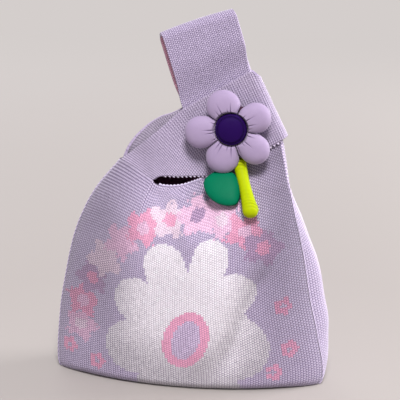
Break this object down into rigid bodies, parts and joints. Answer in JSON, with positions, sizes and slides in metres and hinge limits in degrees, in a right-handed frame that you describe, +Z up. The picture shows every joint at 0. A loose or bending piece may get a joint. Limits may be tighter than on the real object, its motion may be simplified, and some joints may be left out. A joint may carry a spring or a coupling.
{
  "type": "knitted handbag",
  "caption": "Soft double-knit wrist bag whose long handle passes through a short side handle, with a stuffed satin flower, leaf and stem pinned on the front.",
  "frame": {"origin": "on the floor, under the middle of the bag's width, in line with its handles", "axes": "+Z up, +X to the right as seen from the front, and the front with the flower looks along -Y"},
  "size_m": [0.2438, 0.098, 0.3225],
  "materials": {
    "knit": "lilac double-knit, matte",
    "trim": "pale linked edging, matte",
    "satin": "lilac satin, soft sheen",
    "button": "dark purple covered button, soft sheen",
    "thread": "lilac sewing thread",
    "felt": "lilac felt",
    "leaf": "green satin, soft sheen",
    "stem": "lime satin, soft sheen",
    "pin": "plated steel"
  },
  "bodies": {
    "bag": {"front_panel": "knit", "back_panel": "knit", "bottom_seam": "knit", "left_side_seam": "trim", "right_side_seam": "trim", "front_neck_trim": "trim", "back_neck_trim": "trim", "short_handle_front": "knit", "short_handle_back": "knit", "short_handle_trim_front": "trim", "short_handle_trim_back": "trim", "long_handle_root_front": "knit", "long_handle_root_back": "knit"},
    "handle_slider": {"long_handle_throat_front": "knit", "long_handle_throat_back": "knit"},
    "handle_loop": {"long_handle_grip": "knit"},
    "brooch": {"petal_1": "satin", "petal_2": "satin", "petal_3": "satin", "petal_4": "satin", "petal_5": "satin", "centre_button": "button", "gather_thread": "thread", "felt_backing": "felt", "pin_bar": "pin", "pin_needle": "pin", "pin_catch": "pin"},
    "pendant": {"stem": "stem", "leaf": "leaf"}
  },
  "joints": [
    {"name": "handle_pull", "type": "slide", "parent": "bag", "child": "handle_slider", "axis": [-0.4448, 0, 0.8956], "range_m": [0, 0.03]},
    {"name": "handle_tilt", "type": "hinge", "parent": "handle_slider", "child": "handle_loop", "pos_m": [0.02241, 0, 0.2575], "axis": [0.8616, 0, 0.5075], "range_deg": [-45, 45]},
    {"name": "brooch_off", "type": "slide", "parent": "bag", "child": "brooch", "axis": [0, -1, 0], "range_m": [0, 0.04]},
    {"name": "pendant_lift", "type": "hinge", "parent": "brooch", "child": "pendant", "pos_m": [0.0475, -0.0121, 0.1935], "axis": [-1, 0, 0], "range_deg": [0, 30]}
  ]
}
